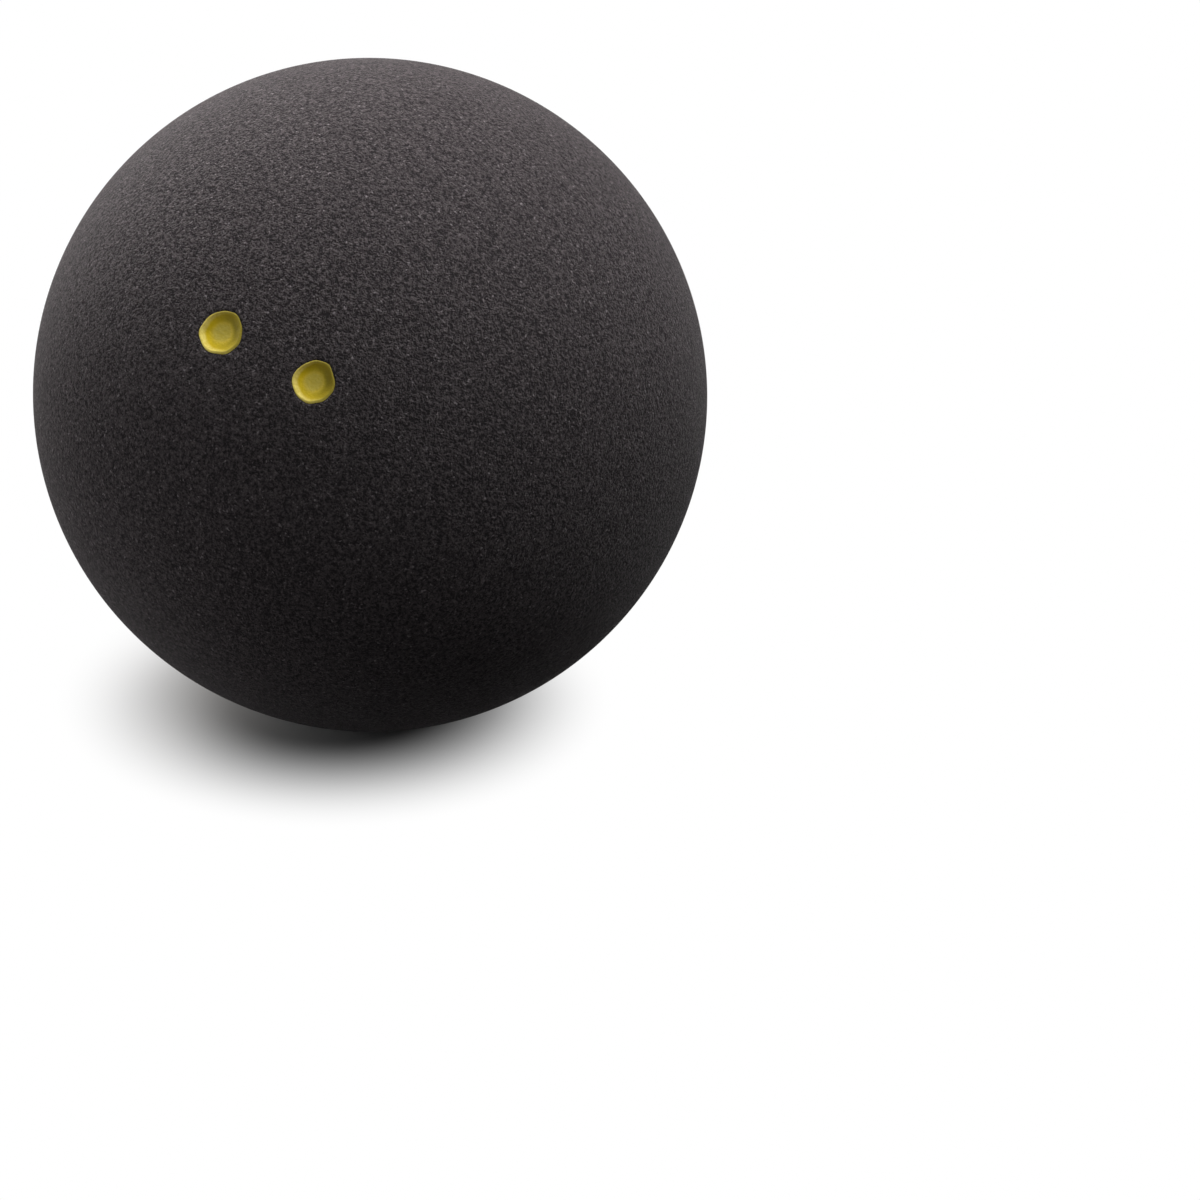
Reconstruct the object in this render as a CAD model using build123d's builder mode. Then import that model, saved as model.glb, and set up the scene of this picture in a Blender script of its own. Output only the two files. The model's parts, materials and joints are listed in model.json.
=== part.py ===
"""Squash ball: moulded rubber half shells, bonded around sealed air, with paint dots pressed into one of them."""

import os
from math import asin, degrees, sqrt

from build123d import *

os.makedirs("parts", exist_ok=True)

# Rubber wall, in millimetres
BALL_DIAMETER = 40.0
WALL = 5.2

# Cured rubber solution: the film between the joint faces, and the bead it leaves on the inner wall
BOND_FILM = 0.2
BEAD_RADIUS = 0.6

# Dots: a dish pressed into the rubber, lined with paint
DOT_MOUTH = 2.45
DOT_FLOOR = 1.7
DOT_DEPTH = 0.35
DOT_CORNER = 0.2
DOT_PAINT = 0.1
DOT_SPACING = 6.03

# How the ball lies, in degrees: the dotted pole faces the front and up, and the pair is turned about that pole
POLE_RISE = 27.3
DOT_ROLL = -20.0

ball_radius = BALL_DIAMETER / 2
hollow_radius = ball_radius - WALL
joint_height = BOND_FILM / 2
dot_tilt = degrees(asin(DOT_SPACING / BALL_DIAMETER))
dish_floor = ball_radius - DOT_DEPTH
dish_mouth = sqrt(ball_radius**2 - (DOT_MOUTH / 2) ** 2)
dish_clear = ball_radius + DOT_DEPTH

# Directions: from the centre to the dotted pole, along the pair of dots, and across the pair
ball_centre = Vector(0, 0, 0)
pole = Vector(0, -1, 0).rotate(Axis.X, -POLE_RISE)
pole_axis = Axis(ball_centre, pole)
along = Vector(1, 0, 0).rotate(pole_axis, DOT_ROLL)
across = pole.cross(along)
across_axis = Axis(ball_centre, across)

# Section planes through the ball's centre, whose Y points to the pole of the half that is drawn on them
dotted_section = Plane(ball_centre, x_dir=along, z_dir=-across)
plain_section = Plane(ball_centre, x_dir=along, z_dir=across)

# Each dot's own section plane, whose Y is the dot's axis
dot_sections = {
    "left_dot": Plane(ball_centre, x_dir=along.rotate(across_axis, -dot_tilt), z_dir=-across),
    "right_dot": Plane(ball_centre, x_dir=along.rotate(across_axis, dot_tilt), z_dir=-across),
}


def wall_section(section):
    """Draw the wall of one half shell, from its joint face to its pole."""
    with BuildSketch(section) as wall:
        Circle(ball_radius)
        Circle(hollow_radius, mode=Mode.SUBTRACT)
        with Locations((0, joint_height)):
            Rectangle(ball_radius, ball_radius, align=(Align.MIN, Align.MIN), mode=Mode.INTERSECT)
    return wall.sketch


def dish_section(section, lift):
    """Draw a dot's dish, open beyond the ball's surface and lifted along the dot's axis."""
    with BuildSketch(section) as dish:
        with BuildLine():
            Polyline(
                (0, dish_floor + lift),
                (DOT_FLOOR / 2, dish_floor + lift),
                (DOT_MOUTH / 2, dish_mouth + lift),
                (DOT_MOUTH / 2, dish_clear + lift),
                (0, dish_clear + lift),
                close=True,
            )
        make_face()
        foot = dish.vertices().group_by(Axis.Y)[0].sort_by(Axis.X)[-1]
        fillet(foot, DOT_CORNER)
    return dish.sketch


def axis_of(section):
    """Return the axis that a section is turned about."""
    return Axis(section.origin, section.y_dir)


with BuildPart() as dotted_half:
    revolve(wall_section(dotted_section), axis=pole_axis)
    for dot_section in dot_sections.values():
        revolve(dish_section(dot_section, 0), axis=axis_of(dot_section), mode=Mode.SUBTRACT)
dotted_half.part.label = "dotted_half"
export_step(dotted_half.part, "parts/dotted_half.step")

with BuildPart() as plain_half:
    revolve(wall_section(plain_section), axis=pole_axis)
plain_half.part.label = "plain_half"
export_step(plain_half.part, "parts/plain_half.step")

with BuildPart() as seam_bond:
    with BuildSketch(dotted_section) as film:
        Circle(ball_radius)
        Circle(hollow_radius, mode=Mode.SUBTRACT)
        Rectangle(ball_radius, BOND_FILM, align=(Align.MIN, Align.CENTER), mode=Mode.INTERSECT)
    with BuildSketch(dotted_section) as bead:
        with Locations((hollow_radius, 0)):
            Circle(BEAD_RADIUS)
        Circle(hollow_radius, mode=Mode.INTERSECT)
    revolve(axis=pole_axis)
seam_bond.part.label = "seam_bond"
export_step(seam_bond.part, "parts/seam_bond.step")

for dot_name, dot_section in dot_sections.items():
    with BuildPart() as dot:
        revolve(dish_section(dot_section, 0), axis=axis_of(dot_section))
        revolve(dish_section(dot_section, DOT_PAINT), axis=axis_of(dot_section), mode=Mode.SUBTRACT)
        Sphere(ball_radius, mode=Mode.INTERSECT)
    dot.part.label = dot_name
    export_step(dot.part, f"parts/{dot_name}.step")
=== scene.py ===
"""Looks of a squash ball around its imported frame: rubber halves, seam bond, paint dots, print and studio."""

import json
import logging
import math
from dataclasses import dataclass, field
from enum import Enum
from typing import Protocol

import bmesh
import bpy
from mathutils import Matrix, Vector


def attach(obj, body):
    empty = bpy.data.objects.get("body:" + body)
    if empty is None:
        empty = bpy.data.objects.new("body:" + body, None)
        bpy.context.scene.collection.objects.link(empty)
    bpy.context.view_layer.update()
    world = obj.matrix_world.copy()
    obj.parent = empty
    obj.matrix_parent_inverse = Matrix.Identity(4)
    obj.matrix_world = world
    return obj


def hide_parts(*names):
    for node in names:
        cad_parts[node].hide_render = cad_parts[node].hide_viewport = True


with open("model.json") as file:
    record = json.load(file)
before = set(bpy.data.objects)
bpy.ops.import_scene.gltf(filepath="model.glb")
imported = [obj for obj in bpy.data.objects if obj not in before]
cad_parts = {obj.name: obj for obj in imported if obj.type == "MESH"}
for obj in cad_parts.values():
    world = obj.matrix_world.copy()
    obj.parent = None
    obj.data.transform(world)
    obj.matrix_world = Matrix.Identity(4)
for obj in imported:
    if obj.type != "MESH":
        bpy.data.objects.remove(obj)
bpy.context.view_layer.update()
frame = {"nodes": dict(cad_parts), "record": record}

# Lengths are in metres, and points of a mesh that are nearer than MERGE are one point
MM = 0.001
MERGE = 0.001 * MM

BODY = "root"
IMAGE_SIDE = 1200

Colour = tuple[float, float, float]
Span = tuple[float, float]
Point = tuple[float, float]
Cells = tuple[int, int]
Socket = bpy.types.NodeSocket

WHITE: Colour = (1.0, 1.0, 1.0)
WHOLE: Span = (0.0, 1.0)

log = logging.getLogger("squash_ball")


class Slot(Enum):
    """Material slots of the record."""

    RUBBER = "rubber"
    BOND = "bond"
    DOT_PAINT = "dot_paint"
    PRINT_INK = "print_ink"


class Mark(Enum):
    """Vertex attributes that say where the dots' paint is pale with dust and painted highlight, and where
    painted shade darkens it.
    """

    DUST = "dust"
    GRIME = "grime"


class Easing(Enum):
    """Ways from one end of a span to the other."""

    EVEN = "LINEAR"
    SOFT = "SMOOTHSTEP"


class Pairing(Enum):
    """Ways to make one value of two."""

    LARGER = "MAXIMUM"
    PRODUCT = "MULTIPLY"


class Rim(Enum):
    """Corners of each dot's rim: degrees about its axis, and the share of the mouth's radius."""

    LEFT_DOT = (
        (0, 1.11), (33, 1.06), (71, 1.08), (105, 0.94), (141, 0.90), (165, 0.93),
        (205, 1.11), (235, 1.03), (256, 1.05), (272, 1.03), (315, 1.09), (345, 1.08),
    )
    RIGHT_DOT = (
        (3, 0.98), (27, 0.96), (75, 1.05), (112, 0.96), (149, 0.87), (180, 0.92),
        (205, 0.97), (232, 0.92), (252, 0.96), (268, 0.94), (284, 1.0), (325, 0.97), (341, 0.93),
    )


def smooth_step(value: float) -> float:
    """Ease from 0 to 1 with level ends, for a value that is cut to 0 and 1."""
    cut = min(max(value, 0.0), 1.0)
    return cut * cut * (3.0 - 2.0 * cut)


def facing(turn: float, middle: float) -> float:
    """Return 1 where an angle, in degrees, points along the middle one, and 0 where it points away."""
    return 0.5 + 0.5 * math.cos(math.radians(turn - middle))


def ray_at(turn: float) -> Vector:
    """Return the flat direction of an angle in degrees."""
    return Vector((math.cos(math.radians(turn)), math.sin(math.radians(turn))))


def grey(level: float) -> Colour:
    """Return the grey colour of a level."""
    return (level, level, level)


@dataclass(frozen=True)
class Speckle:
    """A noise pattern: the size of a grain, the number of finer layers, and the share that each adds."""

    size: float
    layers: float
    share: float


class NodeGraph:
    """The node tree of a material or of the world, with short calls to add and join nodes."""

    def __init__(self, owner: bpy.types.Material | bpy.types.World, output: str) -> None:
        """Start an empty tree.

        Args:
            owner: The material or world that the tree belongs to.
            output: Blender's name of its output node type.
        """
        self.owner = owner
        self.owner.use_nodes = True
        self.tree = self.owner.node_tree
        self.tree.nodes.clear()
        self.output = self.add(output)

    @classmethod
    def for_material(cls, name: str) -> "NodeGraph":
        """Start the tree of a new material."""
        return cls(bpy.data.materials.new(name), "ShaderNodeOutputMaterial")

    @classmethod
    def for_world(cls, name: str) -> "NodeGraph":
        """Start the tree of a new world."""
        return cls(bpy.data.worlds.new(name), "ShaderNodeOutputWorld")

    def add(self, kind: str, **settings: object) -> bpy.types.Node:
        """Add a node.

        Args:
            kind: Blender's name of the node type.
            settings: Node properties to set, by name.

        Returns:
            The new node.
        """
        node = self.tree.nodes.new(kind)
        for name, value in settings.items():
            setattr(node, name, value)
        return node

    def join(self, source: Socket, target: Socket) -> None:
        """Link an output socket to an input socket."""
        self.tree.links.new(source, target)

    def object_place(self) -> Socket:
        """Return the socket that gives the place on the object, in metres."""
        return self.add("ShaderNodeTexCoord").outputs["Object"]

    def attribute(self, mark: Mark) -> Socket:
        """Return the socket that gives a vertex attribute's value."""
        return self.add("ShaderNodeAttribute", attribute_name=mark.value).outputs["Fac"]

    def noise(self, place: Socket, pattern: Speckle) -> Socket:
        """Add a noise pattern.

        Args:
            place: Socket with the place to read.
            pattern: The pattern.

        Returns:
            The socket with the pattern's value, about 0.5 on average.
        """
        node = self.add("ShaderNodeTexNoise")
        node.inputs["Scale"].default_value = 1.0 / pattern.size
        node.inputs["Detail"].default_value = pattern.layers
        node.inputs["Roughness"].default_value = pattern.share
        self.join(place, node.inputs["Vector"])
        return node.outputs["Fac"]

    def spread(
        self, value: Socket, span: Span, result: Span = WHOLE, easing: Easing = Easing.EVEN
    ) -> Socket:
        """Map a value from one span to another, cut at both ends.

        Args:
            value: Socket to map.
            span: Values that give the ends of the result.
            result: The ends of the result.
            easing: The way between them.

        Returns:
            The socket with the mapped value.
        """
        node = self.add("ShaderNodeMapRange", clamp=True, interpolation_type=easing.value)
        node.inputs["From Min"].default_value = span[0]
        node.inputs["From Max"].default_value = span[1]
        node.inputs["To Min"].default_value = result[0]
        node.inputs["To Max"].default_value = result[1]
        self.join(value, node.inputs["Value"])
        return node.outputs["Result"]

    def combine(self, pairing: Pairing, first: Socket, second: Socket) -> Socket:
        """Combine two values.

        Args:
            pairing: The way to combine them.
            first: Socket with the first value.
            second: Socket with the second value.

        Returns:
            The socket with the combined value.
        """
        node = self.add("ShaderNodeMath", operation=pairing.value)
        self.join(first, node.inputs[0])
        self.join(second, node.inputs[1])
        return node.outputs["Value"]

    def blend(self, share: Socket, first: Colour, last: Colour) -> Socket:
        """Mix two colours.

        Args:
            share: Socket with the share of the last colour.
            first: Linear RGB colour at share 0.
            last: Linear RGB colour at share 1.

        Returns:
            The socket with the mixed colour.
        """
        node = self.add("ShaderNodeMix", data_type="RGBA")
        node.inputs["A"].default_value = (*first, 1.0)
        node.inputs["B"].default_value = (*last, 1.0)
        self.join(share, node.inputs["Factor"])
        return node.outputs["Result"]

    def tint(self, share: Socket, first: Socket, last: Colour) -> Socket:
        """Mix a colour pattern with one colour.

        Args:
            share: Socket with the share of the last colour.
            first: Socket with the colour at share 0.
            last: Linear RGB colour at share 1.

        Returns:
            The socket with the mixed colour.
        """
        node = self.add("ShaderNodeMix", data_type="RGBA")
        node.inputs["B"].default_value = (*last, 1.0)
        self.join(share, node.inputs["Factor"])
        self.join(first, node.inputs["A"])
        return node.outputs["Result"]

    def mix_shaders(self, share: Socket, first: Socket, last: Socket) -> Socket:
        """Mix two shaders.

        Args:
            share: Socket with the share of the last shader.
            first: Socket of the shader at share 0.
            last: Socket of the shader at share 1.

        Returns:
            The socket of the mixed shader.
        """
        node = self.add("ShaderNodeMixShader")
        self.join(share, node.inputs["Fac"])
        self.join(first, node.inputs[1])
        self.join(last, node.inputs[2])
        return node.outputs["Shader"]

    def seen_share(self) -> Socket:
        """Tell the rays that show the background: from the camera, or by gloss or glass.

        Returns:
            The socket that is 1 for those rays and 0 for the others.
        """
        path = self.add("ShaderNodeLightPath").outputs
        direct = self.combine(Pairing.LARGER, path["Is Camera Ray"], path["Is Glossy Ray"])
        return self.combine(Pairing.LARGER, direct, path["Is Transmission Ray"])

    def surface(
        self, colour: Socket, roughness: Socket, height: Socket, depth: float, gloss: float
    ) -> bpy.types.Node:
        """Add the surface shader with its relief, and join it to the output.

        Args:
            colour: Socket with the base colour.
            roughness: Socket with the roughness.
            height: Socket with the relief, from 0 to 1.
            depth: Depth of the relief, in metres.
            gloss: Specular level.

        Returns:
            The shader node.
        """
        bump = self.add("ShaderNodeBump")
        bump.inputs["Distance"].default_value = depth
        self.join(height, bump.inputs["Height"])
        shader = self.add("ShaderNodeBsdfPrincipled")
        shader.inputs["Specular IOR Level"].default_value = gloss
        self.join(colour, shader.inputs["Base Color"])
        self.join(roughness, shader.inputs["Roughness"])
        self.join(bump.outputs["Normal"], shader.inputs["Normal"])
        self.join(shader.outputs["BSDF"], self.output.inputs["Surface"])
        return shader


@dataclass(frozen=True)
class RubberFinish:
    """Black rubber, buffed to a fine matt grain, with pale specks that are painted glints."""

    name: str
    pit: Colour = (0.0258, 0.0233, 0.0247)
    crest: Colour = (0.146, 0.128, 0.132)
    # Colour of the painted glints
    painted_glint: Colour = (0.19, 0.172, 0.178)
    grain: Speckle = Speckle(0.23 * MM, 2.0, 0.8)
    grit: Speckle = Speckle(0.11 * MM, 1.0, 0.6)
    glint_specks: Speckle = Speckle(0.16 * MM, 0.0, 0.5)
    patches: Speckle = Speckle(3.2 * MM, 3.0, 0.6)
    grit_share: float = 0.35
    height_span: Span = (0.42, 0.76)
    glint_span: Span = (0.72, 0.84)
    patch_span: Span = (0.3, 0.7)
    roughness: Span = (0.6, 0.72)
    relief: float = 0.1 * MM
    gloss: float = 0.005
    sheen: float = 0.09
    sheen_roughness: float = 0.3

    def build(self) -> bpy.types.Material:
        """Make the material.

        Returns:
            The finished material.
        """
        graph = NodeGraph.for_material(self.name)
        place = graph.object_place()
        mixed = graph.add("ShaderNodeMix", data_type="FLOAT")
        mixed.inputs["Factor"].default_value = self.grit_share
        graph.join(graph.noise(place, self.grain), mixed.inputs["A"])
        graph.join(graph.noise(place, self.grit), mixed.inputs["B"])
        height = graph.spread(mixed.outputs["Result"], self.height_span)
        # Painted glints: pale specks in the colour stand in for the grain's sparkle
        glint_share = graph.spread(graph.noise(place, self.glint_specks), self.glint_span)
        colour = graph.tint(glint_share, graph.blend(height, self.pit, self.crest), self.painted_glint)
        roughness = graph.spread(graph.noise(place, self.patches), self.patch_span, self.roughness)
        shader = graph.surface(colour, roughness, height, self.relief, self.gloss)
        shader.inputs["Sheen Weight"].default_value = self.sheen
        shader.inputs["Sheen Roughness"].default_value = self.sheen_roughness
        return graph.owner


@dataclass(frozen=True)
class PaintFinish:
    """Chalky yellow paint, paler where a dot carries dust and painted highlight, and darker where it carries
    painted shade.
    """

    name: str
    paint: Colour = (0.73, 0.53, 0.013)
    deep: Colour = (0.63, 0.46, 0.009)
    # Pale colour of the dust, also used for the painted highlight on the lip's lit side
    dust_and_highlight_colour: Colour = (0.9, 0.76, 0.2)
    # Colour of the painted shade in the dots' dishes
    painted_shade_colour: Colour = (0.26, 0.215, 0.02)
    specks: Speckle = Speckle(0.16 * MM, 2.0, 0.6)
    clouds: Speckle = Speckle(0.6 * MM, 2.0, 0.5)
    cloud_span: Span = (0.35, 0.65)
    pale_span: Span = (0.25, 0.6)
    pale_cover: Span = (0.45, 1.0)
    rough_span: Span = (0.3, 0.7)
    roughness: Span = (0.45, 0.62)
    relief: float = 0.03 * MM
    gloss: float = 0.15

    def build(self) -> bpy.types.Material:
        """Make the material.

        Returns:
            The finished material.
        """
        graph = NodeGraph.for_material(self.name)
        place = graph.object_place()
        specks = graph.noise(place, self.specks)
        clouds = graph.spread(graph.noise(place, self.clouds), self.cloud_span)
        cover = graph.spread(specks, self.pale_span, self.pale_cover)
        # Dust, with a painted highlight on the lit side of the lip
        dust = graph.combine(Pairing.PRODUCT, graph.attribute(Mark.DUST), cover)
        paled = graph.tint(dust, graph.blend(clouds, self.deep, self.paint), self.dust_and_highlight_colour)
        # Painted shade: darkens the paint on the dish's floor, and most on its side that lies in shade
        colour = graph.tint(graph.attribute(Mark.GRIME), paled, self.painted_shade_colour)
        roughness = graph.spread(specks, self.rough_span, self.roughness)
        graph.surface(colour, roughness, specks, self.relief, self.gloss)
        return graph.owner


@dataclass(frozen=True)
class InkFinish:
    """Thin silver-grey ink, worn so that specks of rubber show through."""

    name: str
    ink: Colour = (0.46, 0.47, 0.49)
    worn: Colour = (0.06, 0.056, 0.058)
    specks: Speckle = Speckle(0.2 * MM, 3.0, 0.65)
    wear_span: Span = (0.36, 0.5)
    rough_span: Span = (0.36, 0.6)
    roughness: Span = (0.65, 0.5)
    relief: float = 0.05 * MM
    gloss: float = 0.2

    def build(self) -> bpy.types.Material:
        """Make the material.

        Returns:
            The finished material.
        """
        graph = NodeGraph.for_material(self.name)
        specks = graph.noise(graph.object_place(), self.specks)
        colour = graph.blend(graph.spread(specks, self.wear_span), self.worn, self.ink)
        roughness = graph.spread(specks, self.rough_span, self.roughness)
        graph.surface(colour, roughness, specks, self.relief, self.gloss)
        return graph.owner


@dataclass(frozen=True)
class BallFrame:
    """The ball's sizes and directions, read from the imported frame."""

    radius: float
    wall: float
    film: float
    pole: Vector
    along: Vector
    across: Vector

    @classmethod
    def from_nodes(cls, nodes: dict[str, bpy.types.Object], seat: dict) -> "BallFrame":
        """Read the ball from its nodes.

        Args:
            nodes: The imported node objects, by name.
            seat: The record's mount with the sphere's radius.

        Returns:
            The ball's frame.
        """
        radius = seat["dims"]["r_mm"] * MM
        left, right = (cls.direction_of(nodes[name]) for name in ("left_dot", "right_dot"))
        pole = (left + right).normalized()
        along = (right - left).normalized()
        shell_heights = [vertex.co.dot(pole) for vertex in nodes["dotted_half"].data.vertices]
        shell_depths = [vertex.co.length for vertex in nodes["plain_half"].data.vertices]
        wall = radius - min(shell_depths)
        film = 2.0 * min(shell_heights)
        return cls(radius, wall, film, pole, along, pole.cross(along))

    @staticmethod
    def direction_of(node: bpy.types.Object) -> Vector:
        """Return the direction from the ball's centre to a node's middle."""
        total = sum((vertex.co for vertex in node.data.vertices), Vector())
        return total.normalized()

    def hollow(self) -> float:
        """Return the radius of the hollow inside."""
        return self.radius - self.wall

    def mid_wall(self) -> float:
        """Return the radius halfway through the wall."""
        return self.radius - self.wall / 2.0

    def to_row(self) -> Matrix:
        """Return the turn from the ball's own axes, with Z at the dotted pole, to the row frame."""
        return Matrix((self.along, self.across, self.pole)).transposed().to_4x4()


def edges_of(faces: list[bmesh.types.BMFace]) -> list[bmesh.types.BMEdge]:
    """Return the edges of some faces, each once and in the faces' order."""
    return list(dict.fromkeys(edge for face in faces for edge in face.edges))


def spin_section(mesh: bmesh.types.BMesh, section: list[Point], steps: int, closed: bool) -> None:
    """Turn a section about Z into a round shape.

    Args:
        mesh: The bmesh that takes the shape.
        section: Points of the section, as reach from the axis and height.
        steps: Number of steps round the axis.
        closed: Whether the section's last point is joined to its first.
    """
    points = [mesh.verts.new((reach, 0.0, height)) for reach, height in section]
    ends = points[1:] + points[:1] if closed else points[1:]
    edges = [mesh.edges.new(pair) for pair in zip(points, ends)]
    bmesh.ops.spin(
        mesh,
        geom=points + edges,
        axis=(0.0, 0.0, 1.0),
        cent=(0.0, 0.0, 0.0),
        angle=math.tau,
        steps=steps,
        use_merge=True,
    )
    bmesh.ops.remove_doubles(mesh, verts=mesh.verts, dist=MERGE)


def finish_piece(
    name: str, mesh: bmesh.types.BMesh, finish: bpy.types.Material, sharp: float = 50.0
) -> bpy.types.Object:
    """Turn a bmesh into a shaded object at the origin that rides on the ball.

    Args:
        name: Name of the piece.
        mesh: The shape, in the row frame. It is freed.
        finish: Material of the piece.
        sharp: Angle between faces, in degrees, from which an edge shows.

    Returns:
        The new object.
    """
    data = bpy.data.meshes.new(name)
    mesh.to_mesh(data)
    mesh.free()
    data.polygons.foreach_set("use_smooth", [True] * len(data.polygons))
    data.set_sharp_from_angle(angle=math.radians(sharp))
    data.materials.append(finish)
    piece = bpy.data.objects.new(name, data)
    bpy.context.scene.collection.objects.link(piece)
    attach(piece, BODY)
    return piece


@dataclass(frozen=True)
class DustAndHighlightMarks:
    """Pale dust on a dot, on the dish's floor and on its lip. The lip is palest and widest on the side that
    catches the light: a painted highlight on top of the dust.

    The turn is in degrees about the dot's axis. Starts, fades and widths are shares of the rim.
    """

    lit_turn: float = 220.0
    floor: float = 0.62
    floor_start: float = 0.3
    floor_fade: float = 0.35
    lip: float = 0.7
    lip_start: float = 0.86
    lip_fade: float = 0.13
    lit_lip: float = 0.25
    lit_width: float = 0.17

    def at(self, share: float, turn: float) -> float:
        """Return how pale the paint is.

        Args:
            share: Share of the rim.
            turn: Angle about the axis, in degrees.

        Returns:
            The share of dust and painted highlight, from 0 to 1.
        """
        # Painted highlight: on the side that catches the light, the lip is paler and its pale band reaches
        # further in
        lit_side = facing(turn, self.lit_turn)
        floor = self.floor * (1.0 - smooth_step((share - self.floor_start) / self.floor_fade))
        lip_start = self.lip_start - self.lit_width * lit_side
        lip = (self.lip + self.lit_lip * lit_side) * smooth_step((share - lip_start) / self.lip_fade)
        return max(floor, lip)


@dataclass(frozen=True)
class PaintedShadeMarks:
    """Painted shade on a dot: a little on the dish's floor, and more up its steep side, the side that lies in
    shade.

    The turn is in degrees about the dot's axis. Starts and the fade are shares of the rim.
    """

    side_turn: float = 25.0
    floor: float = 0.34
    floor_start: float = 0.3
    side: float = 0.85
    side_start: float = 0.34
    fade: float = 0.3

    def at(self, share: float, turn: float) -> float:
        """Return how much painted shade darkens the paint.

        Args:
            share: Share of the rim.
            turn: Angle about the axis, in degrees.

        Returns:
            The share of painted shade, from 0 to 1.
        """
        floor = self.floor * (1.0 - smooth_step((share - self.floor_start) / self.fade))
        climb = smooth_step((share - self.side_start) / self.fade)
        return max(floor, self.side * facing(turn, self.side_turn) * climb)


@dataclass
class PressedDot:
    """A dish pressed into the rubber a little askew, and lined with paint.

    Turns are in degrees about the dot's axis, and shares are shares of the rim.
    """

    node: str
    ball: BallFrame
    axis: Vector
    mouth: float
    corners: tuple[Point, ...]
    corner_spread: tuple[float, ...] = (-10.0, -5.0, 0.0, 5.0, 10.0)
    depth: float = 0.34 * MM
    film: float = 0.08 * MM
    film_power: int = 4
    crest_drop: float = 0.02 * MM
    edge_drop: float = 0.03 * MM
    edge_film: float = 0.012 * MM
    wall_power: float = 3.4
    deep_share: float = 0.3
    deep_turn: float = 85.0
    crest_share: float = 0.94
    lip_growth: float = 0.06
    lip_turn: float = 328.0
    round_share: float = 1.1
    clearance: float = 0.02 * MM
    # Dust, with a painted highlight on the lip's lit side
    dust: DustAndHighlightMarks = DustAndHighlightMarks()
    # Painted shade, laid on the paint's vertices
    grime: PaintedShadeMarks = PaintedShadeMarks()
    sharp: float = 60.0
    steps: int = 120
    rings: int = 40

    @classmethod
    def from_node(cls, node: bpy.types.Object, ball: BallFrame) -> "PressedDot":
        """Read a dot's axis and mouth from its node.

        Args:
            node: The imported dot.
            ball: The ball's frame.

        Returns:
            The dot.
        """
        axis = ball.direction_of(node)
        mouth = max((vertex.co - axis * vertex.co.dot(axis)).length for vertex in node.data.vertices)
        return cls(node.name, ball, axis, mouth, Rim[node.name.upper()].value)

    def sides(self) -> tuple[Vector, Vector]:
        """Return the dot's own two directions across its axis."""
        first = (self.ball.along - self.axis * self.ball.along.dot(self.axis)).normalized()
        return first, self.axis.cross(first)

    def outline(self, turn: float) -> float:
        """Return the rim's share of the mouth's radius.

        Args:
            turn: Angle about the axis, in degrees.

        Returns:
            The share, on straight stretches between the rim's corners.
        """
        for (start, near), (end, far) in zip(self.corners, self.corners[1:] + self.corners[:1]):
            span = (end - start) % 360.0
            past = (turn - start) % 360.0
            if past < span:
                first = Vector((near, 0.0))
                edge = ray_at(span) * far - first
                return first.cross(edge) / ray_at(past).cross(edge)
        return 1.0

    def soft_outline(self, turn: float) -> float:
        """Return the rim's share with its corners rounded off."""
        return sum(self.outline(turn + shift) for shift in self.corner_spread) / len(self.corner_spread)

    def paint_drop(self, share: float, turn: float) -> float:
        """Return how far the paint's top lies below the ball's surface.

        The dish's deepest point lies off its middle, and its lip is wider on one side.

        Args:
            share: Share of the rim.
            turn: Angle about the axis, in degrees.

        Returns:
            The drop.
        """
        toward_lip = max(math.cos(math.radians(turn - self.lip_turn)), 0.0)
        crest = self.crest_share - self.lip_growth * toward_lip
        if share >= crest:
            past = (share - crest) / (1.0 - crest)
            return self.crest_drop + (self.edge_drop - self.crest_drop) * past**2
        deepest = Vector((self.deep_share, 0.0))
        way = ray_at(turn - self.deep_turn) * share - deepest
        ahead = deepest.dot(way.normalized())
        wall = math.sqrt(ahead**2 + crest**2 - self.deep_share**2) - ahead
        rise = (way.length / wall) ** self.wall_power
        return self.crest_drop + (self.depth - self.crest_drop) * (1.0 - rise)

    def film_at(self, share: float) -> float:
        """Return the paint's thickness at a share of the rim."""
        return self.edge_film + (self.film - self.edge_film) * (1.0 - share**self.film_power)

    def rubber_drop(self, place: Vector) -> float:
        """Return how far the rubber lies below the ball's surface.

        Args:
            place: A point on the ball.

        Returns:
            The drop, which is 0 outside the rounded lip.
        """
        first, second = self.sides()
        x, y = place.dot(first), place.dot(second)
        turn = math.degrees(math.atan2(y, x))
        share = math.hypot(x, y) / (self.mouth * self.soft_outline(turn))
        if share >= self.round_share:
            return 0.0
        edge = self.edge_drop + self.edge_film + self.clearance
        if share > 1.0:
            return edge * (1.0 - smooth_step((share - 1.0) / (self.round_share - 1.0)))
        return self.paint_drop(share, turn) + self.film_at(share) + self.clearance

    def near(self, place: Vector, reach: float) -> bool:
        """Tell whether a point of the ball lies within reach of the dot's axis."""
        return place.dot(self.axis) > 0.0 and place.cross(self.axis).length < reach

    def build(self, finish: bpy.types.Material) -> bpy.types.Object:
        """Make the paint that lines the dish.

        Args:
            finish: The paint's material.

        Returns:
            The paint's object.
        """
        mesh = bmesh.new()
        shares = [index / self.rings for index in range(self.rings + 1)]
        section = [(share * self.mouth, 0.0) for share in shares]
        section += [(share * self.mouth, self.film_at(share)) for share in reversed(shares)]
        spin_section(mesh, section, self.steps, closed=False)
        dust = mesh.verts.layers.float.new(Mark.DUST.value)
        grime = mesh.verts.layers.float.new(Mark.GRIME.value)
        first, second = self.sides()
        for vertex in mesh.verts:
            bearing = math.atan2(vertex.co.y, vertex.co.x)
            turn = math.degrees(bearing)
            share = math.hypot(vertex.co.x, vertex.co.y) / self.mouth
            # Dust, with the lip's painted highlight
            vertex[dust] = self.dust.at(share, turn)
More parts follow.
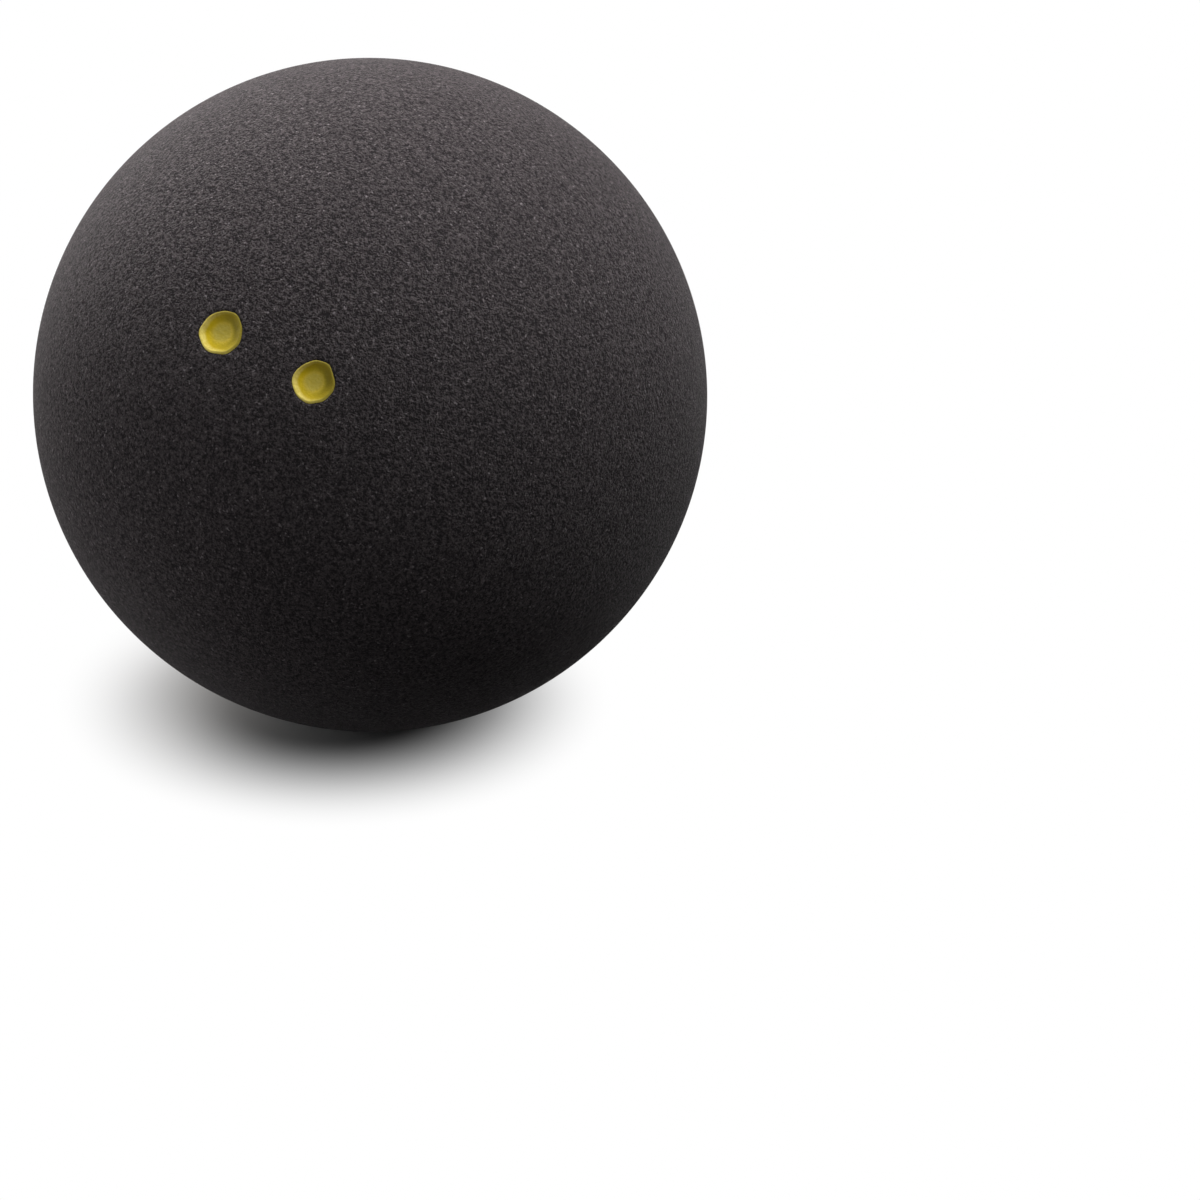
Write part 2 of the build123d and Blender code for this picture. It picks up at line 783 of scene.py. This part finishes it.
            # Painted shade of the dish's floor and its shaded side
            vertex[grime] = self.grime.at(share, turn)
            reach = share * self.mouth * self.soft_outline(turn)
            surface = math.sqrt(self.ball.radius**2 - reach**2)
            height = surface - self.paint_drop(share, turn) - vertex.co.z
            way = first * math.cos(bearing) + second * math.sin(bearing)
            vertex.co = self.axis * height + way * reach
        bmesh.ops.recalc_face_normals(mesh, faces=mesh.faces)
        piece = finish_piece(f"{self.node}_paint", mesh, finish, self.sharp)
        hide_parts(self.node)
        return piece


@dataclass
class HalfShell:
    """One moulded half of the ball: a round wall that ends in a flat joint face.

    The sizes of its map are shares of the map's side.
    """

    node: str
    ball: BallFrame
    pole: Vector
    dots: list[PressedDot] = field(default_factory=list)
    outer_cuts: int = 7
    inner_cuts: int = 5
    cut_slack: float = 0.0001 * MM
    joint_slack: float = 0.01 * MM
    dish_reaches: tuple[float, ...] = (2.4 * MM, 2.1 * MM, 1.8 * MM)
    map_name: str = "OFBake"
    map_middle: Point = (0.5, 0.5)
    map_reach: float = 0.495
    corner: float = 0.088
    corner_reach: float = 0.083

    def skin(
        self, mesh: bmesh.types.BMesh, radius: float, cuts: int
    ) -> tuple[list[bmesh.types.BMFace], list[bmesh.types.BMEdge]]:
        """Add one round skin of the half, cut off at the joint face.

        Args:
            mesh: The half's bmesh.
            radius: The skin's radius.
            cuts: Subdivisions of the round form that it is cut from.

        Returns:
            The skin's faces and the edges of its open rim.
        """
        before = set(mesh.faces)
        verts = bmesh.ops.create_icosphere(mesh, subdivisions=cuts, radius=radius)["verts"]
        faces = [face for face in mesh.faces if face not in before]
        bmesh.ops.bisect_plane(
            mesh,
            geom=[*verts, *edges_of(faces), *faces],
            dist=self.cut_slack,
            plane_co=self.pole * self.ball.film / 2.0,
            plane_no=self.pole,
            clear_inner=True,
        )
        faces = [face for face in mesh.faces if face not in before]
        return faces, [edge for edge in edges_of(faces) if edge.is_boundary]

    def press_dots(self, mesh: bmesh.types.BMesh) -> None:
        """Refine the outer skin round each dot and press the dish into it.

        Args:
            mesh: The half's bmesh.
        """
        radius = self.ball.radius
        mid_wall = self.ball.mid_wall()
        for dot in self.dots:
            for reach in self.dish_reaches:
                close = [face for face in mesh.faces if dot.near(face.calc_center_median(), reach)]
                close = [face for face in close if face.calc_center_median().length > mid_wall]
                bmesh.ops.subdivide_edges(mesh, edges=edges_of(close), cuts=1, use_grid_fill=True)
        for vertex in mesh.verts:
            if vertex.co.length > mid_wall:
                vertex.co = vertex.co.normalized() * radius
                for dot in self.dots:
                    if dot.near(vertex.co, self.dish_reaches[0]):
                        vertex.co *= 1.0 - dot.rubber_drop(vertex.co) / radius

    def lay_map(self, mesh: bmesh.types.BMesh) -> None:
        """Lay the half flat for its texture: the outside in a large disc, the rest in two corners.

        Args:
            mesh: The half's bmesh.
        """
        layer = mesh.loops.layers.uv.new(self.map_name)
        joint = self.ball.film / 2.0 + self.joint_slack
        outer_middle = Vector(self.map_middle)
        inner_middle = Vector((self.corner, self.corner))
        joint_middle = Vector((1.0 - self.corner, self.corner))
        for face in mesh.faces:
            flat = all(vertex.co.dot(self.pole) < joint for vertex in face.verts)
            outer = face.calc_center_median().length > self.ball.mid_wall()
            for loop in face.loops:
                way = loop.vert.co.normalized()
                side = Vector((way.dot(self.ball.along), way.dot(self.ball.across)))
                spread = side / math.sqrt(1.0 + max(way.dot(self.pole), 0.0))
                if flat:
                    reach = self.corner_reach / self.ball.radius
                    loop[layer].uv = joint_middle + side * loop.vert.co.length * reach
                elif outer:
                    loop[layer].uv = outer_middle + spread * self.map_reach
                else:
                    loop[layer].uv = inner_middle + spread * self.corner_reach

    def build(self, finish: bpy.types.Material) -> bpy.types.Object:
        """Make the half.

        Args:
            finish: The rubber's material.

        Returns:
            The half's object.
        """
        mesh = bmesh.new()
        _, outer_rim = self.skin(mesh, self.ball.radius, self.outer_cuts)
        inner_faces, inner_rim = self.skin(mesh, self.ball.hollow(), self.inner_cuts)
        bmesh.ops.reverse_faces(mesh, faces=inner_faces)
        bmesh.ops.bridge_loops(mesh, edges=outer_rim + inner_rim)
        self.press_dots(mesh)
        bmesh.ops.recalc_face_normals(mesh, faces=mesh.faces)
        self.lay_map(mesh)
        piece = finish_piece(f"{self.node}_rubber", mesh, finish)
        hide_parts(self.node)
        return piece


@dataclass
class SeamBond:
    """The ring of cured rubber solution between the halves, with its bead inside."""

    node: str
    ball: BallFrame
    bead: float = 0.6 * MM
    bead_points: int = 9
    steps: int = 384

    def section(self) -> list[Point]:
        """Draw the ring's section: the film between the joint faces, then the bead on the inner wall.

        Returns:
            The points, as reach from the axis and height.
        """
        half = self.ball.film / 2.0
        hollow = self.ball.hollow()
        rim = math.sqrt(self.ball.radius**2 - half**2)
        wall = math.sqrt(hollow**2 - half**2)
        points = [(wall, half), (rim, half), (self.ball.radius, 0.0), (rim, -half), (wall, -half)]
        foot = math.acos(self.bead / (2.0 * hollow))
        for index in range(self.bead_points):
            turn = foot * (2.0 * index / (self.bead_points - 1) - 1.0)
            points.append((hollow - self.bead * math.cos(turn), self.bead * math.sin(turn)))
        return points

    def build(self, finish: bpy.types.Material) -> bpy.types.Object:
        """Make the ring.

        Args:
            finish: The bond's material.

        Returns:
            The ring's object.
        """
        mesh = bmesh.new()
        spin_section(mesh, self.section(), self.steps, closed=True)
        bmesh.ops.transform(mesh, matrix=self.ball.to_row(), verts=mesh.verts)
        bmesh.ops.recalc_face_normals(mesh, faces=mesh.faces)
        piece = finish_piece(f"{self.node}_ring", mesh, finish)
        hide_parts(self.node)
        return piece


@dataclass
class FacePrint:
    """A plain printed band on the face away from the dots: a row of lozenges between two rules."""

    name: str
    ball: BallFrame
    ink: float = 0.02 * MM
    sink: float = 0.01 * MM
    rule_length: float = 16.0 * MM
    rule_width: float = 0.7 * MM
    rule_gap: float = 7.2 * MM
    rule_cells: Cells = (64, 3)
    lozenge_width: float = 2.5 * MM
    lozenge_height: float = 4.2 * MM
    lozenge_pitch: float = 3.2 * MM
    lozenge_cells: Cells = (10, 10)
    lozenges: int = 5

    def sides(self) -> tuple[Vector, Vector, Vector]:
        """Find the print's directions.

        Returns:
            The directions to the right, up and out of the ball.
        """
        out = -self.ball.pole
        up = Vector((0.0, 0.0, 1.0))
        up = (up - out * up.dot(out)).normalized()
        return up.cross(out), up, out

    def shapes(self) -> list[tuple[Cells, Matrix]]:
        """List the shapes of the print.

        Returns:
            The cells along and up each shape's grid, and the matrix that makes the shape of a unit square.
        """
        rule = Matrix.Diagonal((self.rule_length, self.rule_width, 1.0, 1.0))
        # A square that stands on its corner, 1 high, has sides of the root of a half
        diamond = Matrix.Rotation(math.radians(45.0), 4, "Z") @ Matrix.Scale(math.sqrt(0.5), 4)
        lozenge = Matrix.Diagonal((self.lozenge_width, self.lozenge_height, 1.0, 1.0)) @ diamond
        found: list[tuple[Cells, Matrix]] = []
        for side in (-1, 1):
            place = Matrix.Translation((0.0, side * self.rule_gap / 2.0, 0.0))
            found.append((self.rule_cells, place @ rule))
        for index in range(self.lozenges):
            step = index - (self.lozenges - 1) / 2.0
            place = Matrix.Translation((step * self.lozenge_pitch, 0.0, 0.0))
            found.append((self.lozenge_cells, place @ lozenge))
        return found

    def build(self, finish: bpy.types.Material) -> bpy.types.Object:
        """Make the print.

        Args:
            finish: The ink's material.

        Returns:
            The print's object.
        """
        mesh = bmesh.new()
        half_square = 0.5
        for (along, upward), matrix in self.shapes():
            bmesh.ops.create_grid(
                mesh, x_segments=along, y_segments=upward, size=half_square, matrix=matrix
            )
        right, up, out = self.sides()
        low = self.ball.radius - self.sink
        for vertex in mesh.verts:
            flat = right * vertex.co.x + up * vertex.co.y
            turn = flat.length / self.ball.radius
            way = flat.normalized() * math.sin(turn) + out * math.cos(turn)
            vertex.co = way * low
        bmesh.ops.recalc_face_normals(mesh, faces=mesh.faces)
        raised = bmesh.ops.extrude_face_region(mesh, geom=mesh.faces[:])["geom"]
        for item in raised:
            if isinstance(item, bmesh.types.BMVert):
                item.co = item.co.normalized() * (self.ball.radius + self.ink)
        bmesh.ops.recalc_face_normals(mesh, faces=mesh.faces)
        piece = finish_piece(self.name, mesh, finish)
        return piece


@dataclass(frozen=True)
class Softbox:
    """A square lamp that looks at the ball."""

    name: str
    place: tuple[float, float, float]
    power: float
    tint: Colour = WHITE
    side: float = 0.5

    def build(self, aim: Vector) -> None:
        """Hang the lamp and turn it to the aim.

        Args:
            aim: The point that the lamp looks at.
        """
        lamp = bpy.data.lights.new(self.name, "AREA")
        lamp.shape = "SQUARE"
        lamp.size = self.side
        lamp.energy = self.power
        lamp.color = self.tint
        holder = bpy.data.objects.new(self.name, lamp)
        bpy.context.scene.collection.objects.link(holder)
        holder.location = self.place
        holder.rotation_euler = (aim - holder.location).to_track_quat("-Z", "Y").to_euler()


@dataclass
class Studio:
    """White floor, soft lamps and the camera at the photo's angle."""

    ball: BallFrame
    azimuth: float = 19.0
    elevation: float = 22.0
    lens: float = 100.0
    sensor: float = 36.0
    near_clip: float = 0.01
    ball_pixel: Point = (372.4, 396.9)
    ball_pixel_radius: float = 335.0
    floor_side: float = 6.0
    floor_cells: int = 2
    shadow_middle: Point = (-2.3 * MM, -0.4 * MM)
    shadow_span: Span = (6.3 * MM, 17.5 * MM)
    shade_grey: float = 0.4
    bounce_right: float = 0.03
    bounce_left: float = 0.32
    bounce_span: Span = (5.0 * MM, -25.0 * MM)
    room_grey: float = 0.02
    lamps: tuple[Softbox, ...] = (
        Softbox("top_lamp", (0.4, 0.02, 0.69), 5.2),
        Softbox("fill_lamp", (-0.55, -0.55, 0.1), 0.8, (0.96, 0.97, 1.0)),
        Softbox("back_lamp", (-0.06, 0.36, 0.71), 8.9, (1.0, 0.965, 0.965)),
        Softbox("left_lamp", (-0.5, 0.5, 0.38), 7.0, (1.0, 0.97, 0.94)),
        Softbox("rim_lamp", (-0.77, 0.1, 0.06), 3.0),
    )

    def floor_finish(self) -> bpy.types.Material:
        """Make the floor's material: white to the eye beyond a soft disc round the ball, and grey to bounced
        light.

        Inside the disc it shows grey and lit by the lamps, a partly painted shadow: the grey deepens the
        lamps' shadow of the ball, and the disc's soft edge sets how far that shadow reaches. It bounces more
        light on the ball's left than on its right, and it is clear from below.

        Returns:
            The finished material.
        """
        graph = NodeGraph.for_material("floor_white")
        place = graph.object_place()
        seen = graph.seen_share()
        split = graph.add("ShaderNodeSeparateXYZ")
        graph.join(place, split.inputs["Vector"])
        left = graph.spread(split.outputs["X"], self.bounce_span)
        bounce = graph.blend(left, grey(self.bounce_right), grey(self.bounce_left))
        shaded = graph.add("ShaderNodeBsdfDiffuse")
        graph.join(graph.tint(seen, bounce, grey(self.shade_grey)), shaded.inputs["Color"])
        # Painted shadow: nearer than this span to the shadow's middle, the floor turns from white to grey
        reach = graph.add("ShaderNodeVectorMath", operation="DISTANCE")
        reach.inputs[1].default_value = (*self.shadow_middle, -self.ball.radius)
        graph.join(place, reach.inputs[0])
        away = graph.spread(reach.outputs["Value"], self.shadow_span, easing=Easing.SOFT)
        bare = graph.combine(Pairing.PRODUCT, away, seen)
        white = graph.add("ShaderNodeEmission").outputs["Emission"]
        above = graph.mix_shaders(bare, shaded.outputs["BSDF"], white)
        below = graph.add("ShaderNodeNewGeometry").outputs["Backfacing"]
        clear = graph.add("ShaderNodeBsdfTransparent").outputs["BSDF"]
        graph.join(graph.mix_shaders(below, above, clear), graph.output.inputs["Surface"])
        return graph.owner

    def lay_floor(self) -> None:
        """Lay the floor under the ball."""
        mesh = bmesh.new()
        cells, half_side = self.floor_cells, self.floor_side / 2.0
        bmesh.ops.create_grid(mesh, x_segments=cells, y_segments=cells, size=half_side)
        bmesh.ops.translate(mesh, vec=(0.0, 0.0, -self.ball.radius), verts=mesh.verts)
        data = bpy.data.meshes.new("floor")
        mesh.to_mesh(data)
        mesh.free()
        data.materials.append(self.floor_finish())
        floor = bpy.data.objects.new("floor", data)
        bpy.context.scene.collection.objects.link(floor)

    def set_world(self) -> None:
        """Fill the room with dim grey light, which shows as white to the eye, in gloss and in glass."""
        graph = NodeGraph.for_world("studio")
        shades = []
        for colour in (grey(self.room_grey), WHITE):
            shade = graph.add("ShaderNodeBackground")
            shade.inputs["Color"].default_value = (*colour, 1.0)
            shades.append(shade.outputs["Background"])
        room = graph.mix_shaders(graph.seen_share(), *shades)
        graph.join(room, graph.output.inputs["Surface"])
        bpy.context.scene.world = graph.owner

    def set_camera(self) -> None:
        """Put the camera where the ball's outline takes its place and size in the photo."""
        camera = bpy.data.cameras.new("camera")
        camera.lens = self.lens
        camera.sensor_width = self.sensor
        camera.clip_start = self.near_clip
        pixels = self.lens / self.sensor * IMAGE_SIDE
        distance = self.ball.radius * math.hypot(1.0, pixels / self.ball_pixel_radius)
        turn, rise = math.radians(self.azimuth), math.radians(self.elevation)
        level = math.cos(rise)
        back = Vector((math.sin(turn) * level, -math.cos(turn) * level, math.sin(rise)))
        middle = IMAGE_SIDE / 2.0
        right, down = (pixel - middle for pixel in self.ball_pixel)
        ray = Vector((right / pixels, -down / pixels, -1.0))
        holder = bpy.data.objects.new("camera", camera)
        bpy.context.scene.collection.objects.link(holder)
        holder.location = back * distance
        holder.rotation_mode = "QUATERNION"
        pan = ray.rotation_difference(Vector((0.0, 0.0, -1.0)))
        holder.rotation_quaternion = (-back).to_track_quat("-Z", "Y") @ pan
        bpy.context.scene.camera = holder

    def build(self) -> None:
        """Set up the floor, the light and the camera."""
        self.lay_floor()
        self.set_world()
        for lamp in self.lamps:
            lamp.build(Vector())
        self.set_camera()
        bpy.context.scene.view_settings.view_transform = "Standard"


class Piece(Protocol):
    """A sub-assembly that makes one object of the ball."""

    def build(self, finish: bpy.types.Material) -> bpy.types.Object:
        """Make the object in a finish."""


def main() -> None:
    """Build the ball's pieces and the studio, in order."""
    logging.basicConfig(level=logging.INFO, format="%(name)s: %(message)s")
    nodes = frame["nodes"]
    seat = next(mount for mount in frame["record"]["mounts"] if mount["name"] == "ball_seat")
    ball = BallFrame.from_nodes(nodes, seat)
    rubber = RubberFinish("buffed_rubber").build()
    bond = RubberFinish("cured_bond", pit=(0.0245, 0.0221, 0.0235), crest=(0.139, 0.122, 0.125)).build()
    paint = PaintFinish("dot_yellow").build()
    ink = InkFinish("silver_ink").build()
    dots = [PressedDot.from_node(nodes[name], ball) for name in ("left_dot", "right_dot")]
    pieces: list[tuple[Piece, bpy.types.Material]] = [
        *((dot, paint) for dot in dots),
        (HalfShell("dotted_half", ball, ball.pole, dots), rubber),
        (HalfShell("plain_half", ball, -ball.pole), rubber),
        (SeamBond("seam_bond", ball), bond),
        (FacePrint("face_print", ball), ink),
    ]
    for piece, finish in pieces:
        made = piece.build(finish)
        log.info("%s: %d faces", made.name, len(made.data.polygons))
    Studio(ball).build()


if __name__ == "__main__":
    main()
